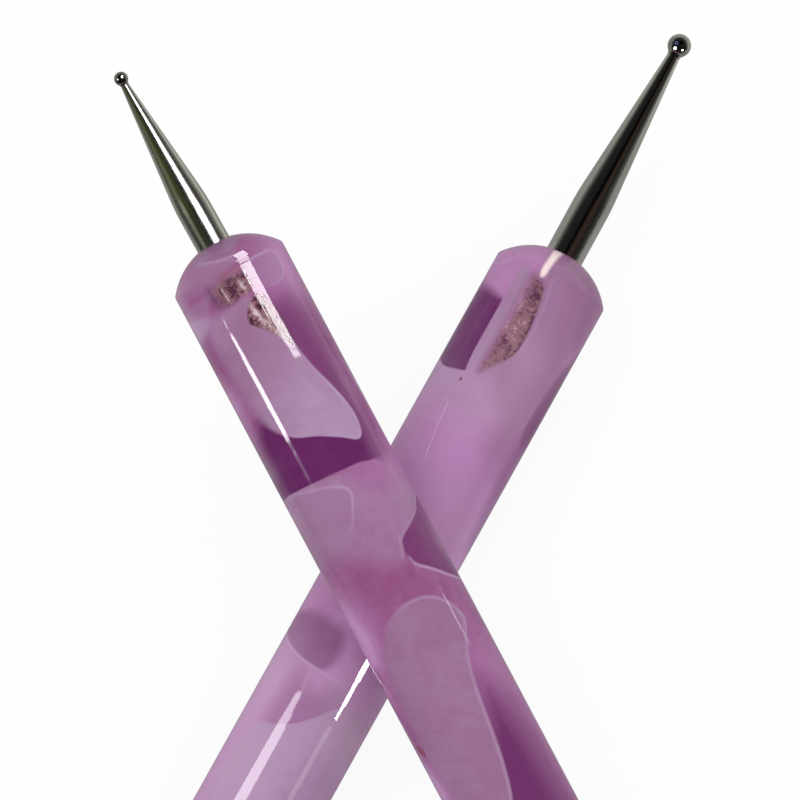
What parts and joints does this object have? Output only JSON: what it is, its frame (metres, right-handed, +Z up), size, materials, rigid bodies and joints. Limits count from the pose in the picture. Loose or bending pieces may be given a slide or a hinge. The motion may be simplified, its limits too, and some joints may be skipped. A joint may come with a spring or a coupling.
{
  "type": "embossing stylus",
  "caption": "Double-ended ball-tipped embossing stylus with a marbled acrylic handle, shown as a pair laid one across the other.",
  "frame": {"origin": "middle of the pair's outline seen from above, on the surface it lies on", "axes": "+Z up from that surface, +Y up the page along the open X that the pair makes, +X to the right; the front stylus leans left and lies over the back one"},
  "size_m": [0.088, 0.1246, 0.0215],
  "materials": {
    "marbled_acrylic": "polished cast acrylic, pearly lilac swirls over translucent purple",
    "polished_steel": "polished, plated steel shank, rough where it is set in the handle",
    "polished_steel_ball": "polished, plated steel ball",
    "braze": "small bright bead of braze under the plating",
    "set_adhesive": "clear set adhesive with a pink cast"
  },
  "bodies": {
    "back_stylus": {"back_handle": "marbled_acrylic", "back_small_shank": "polished_steel", "back_small_ball": "polished_steel_ball", "back_small_braze": "braze", "back_small_adhesive": "set_adhesive", "back_large_shank": "polished_steel", "back_large_ball": "polished_steel_ball", "back_large_braze": "braze", "back_large_adhesive": "set_adhesive"},
    "front_stylus": {"front_handle": "marbled_acrylic", "front_small_shank": "polished_steel", "front_small_ball": "polished_steel_ball", "front_small_braze": "braze", "front_small_adhesive": "set_adhesive", "front_large_shank": "polished_steel", "front_large_ball": "polished_steel_ball", "front_large_braze": "braze", "front_large_adhesive": "set_adhesive"}
  },
  "joints": [
    {"name": "lift_off", "type": "slide", "parent": "back_stylus", "child": "front_stylus", "axis": [0, 0, 1], "range_m": [0, 0.04]}
  ]
}
